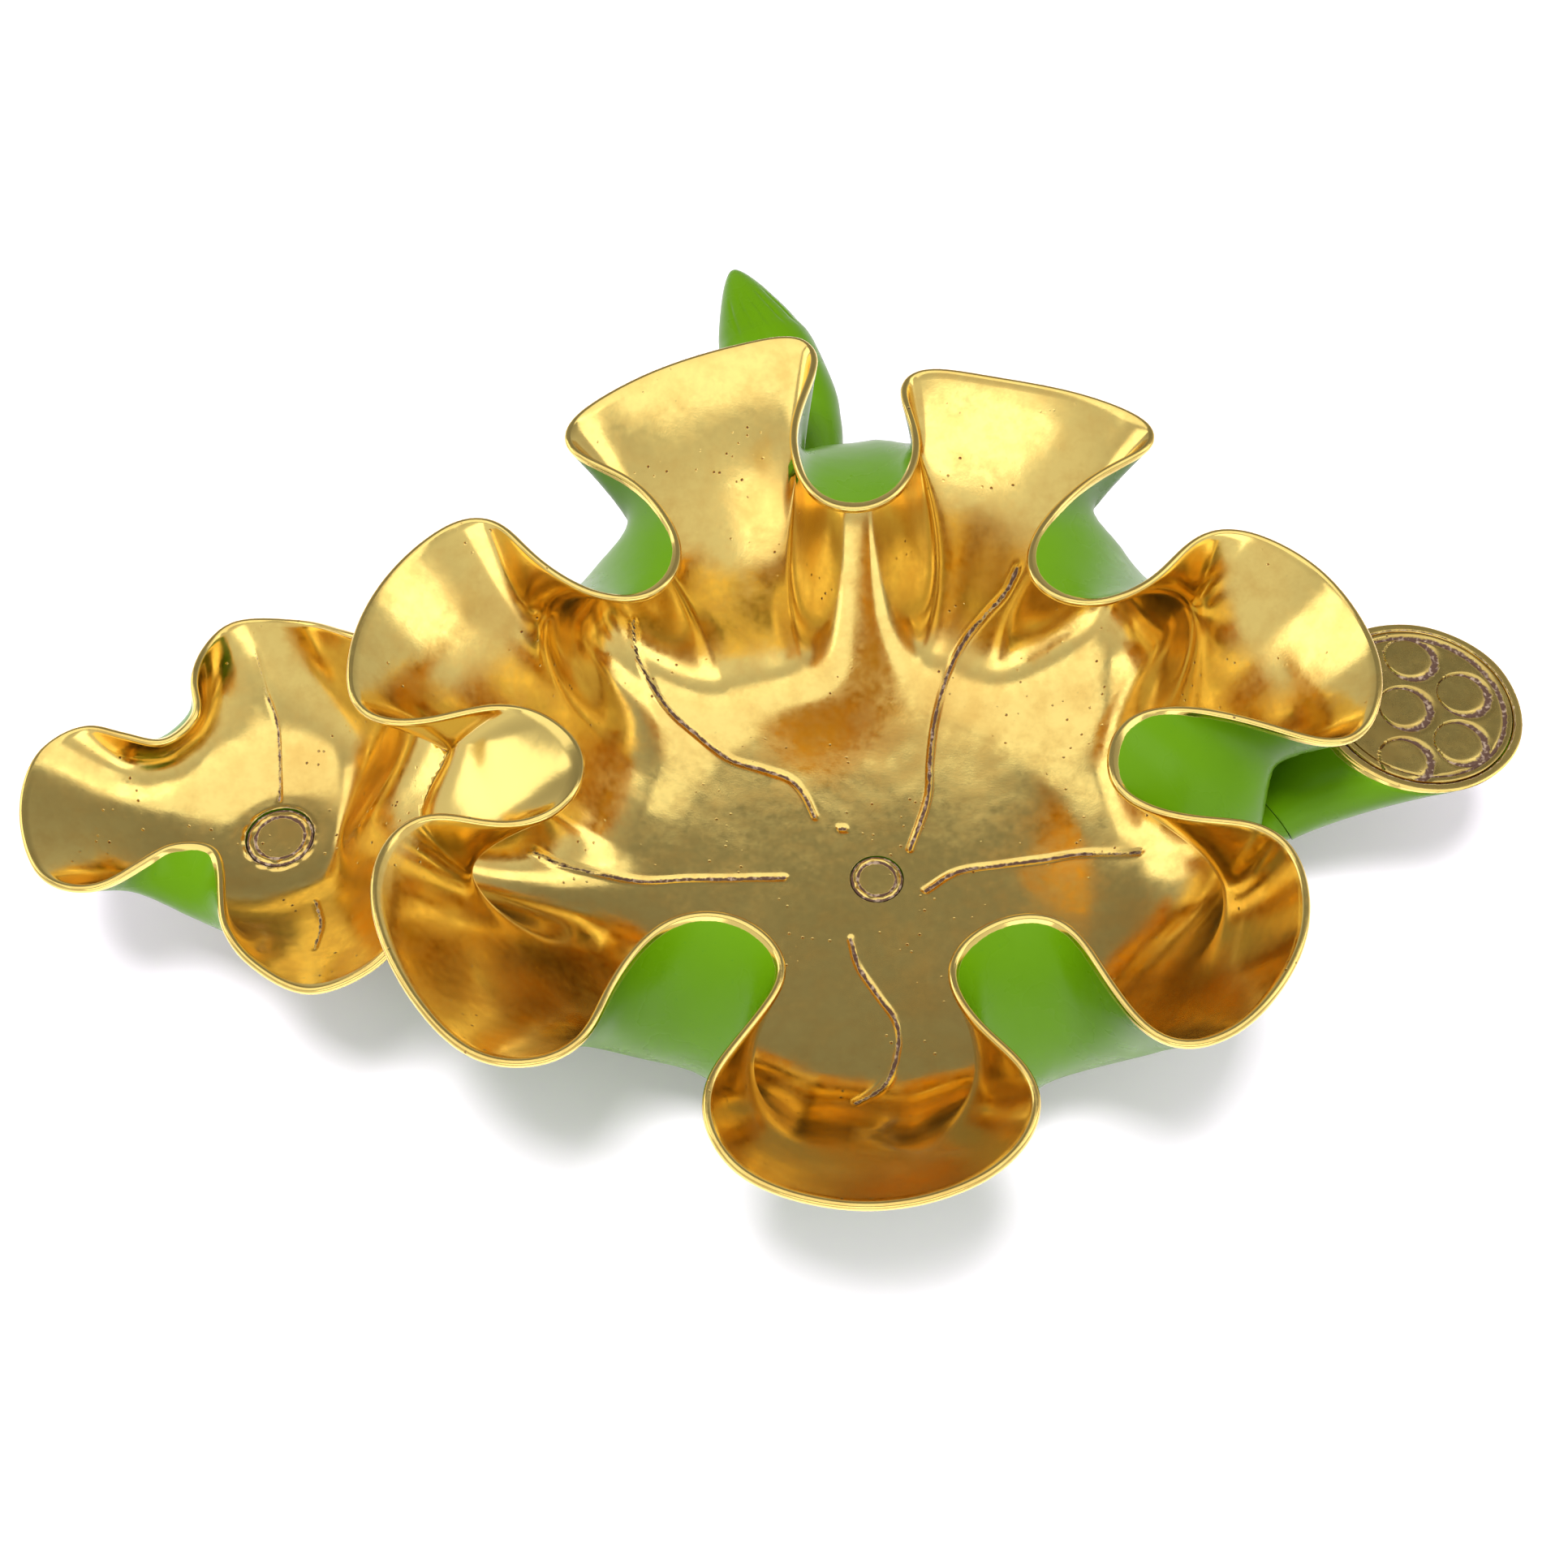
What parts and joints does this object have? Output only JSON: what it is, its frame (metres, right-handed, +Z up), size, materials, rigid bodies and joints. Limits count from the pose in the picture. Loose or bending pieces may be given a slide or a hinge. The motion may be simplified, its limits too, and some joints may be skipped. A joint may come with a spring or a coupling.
{
  "type": "lotus leaf urli bowl",
  "caption": "Cast brass urli in the shape of a ruffled lotus leaf, green outside, with a small side leaf, a seed pod and a closed bud, for floating flowers or lamps.",
  "frame": {"origin": "on the table, under the middle of the large leaf, at the middle of its foot's flat underside", "axes": "+X from the large leaf towards the seed pod, the small leaf is at -X, +Y towards the bud, +Z up"},
  "size_m": [0.4029, 0.3364, 0.0981],
  "materials": {
    "foot": "as-cast brass, dull",
    "large_leaf": "polished brass inside, green lacquer outside",
    "large_pin": "polished brass",
    "small_foot": "as-cast brass, dull",
    "small_leaf": "polished brass inside, green lacquer outside",
    "small_pin": "polished brass",
    "tie_rod": "as-cast brass, dull",
    "pod_stalk": "glossy green lacquer on brass",
    "seed_pod": "glossy green lacquer on brass",
    "pod_face": "brass with darkened engraving",
    "bud_stalk": "glossy green lacquer on brass",
    "lotus_bud": "glossy green lacquer on brass"
  },
  "bodies": {
    "root": {"foot": "foot", "large_leaf": "large_leaf", "large_pin": "large_pin", "small_foot": "small_foot", "small_leaf": "small_leaf", "small_pin": "small_pin", "tie_rod": "tie_rod", "pod_stalk": "pod_stalk", "seed_pod": "seed_pod", "pod_face": "pod_face", "bud_stalk": "bud_stalk", "lotus_bud": "lotus_bud"}
  },
  "joints": []
}
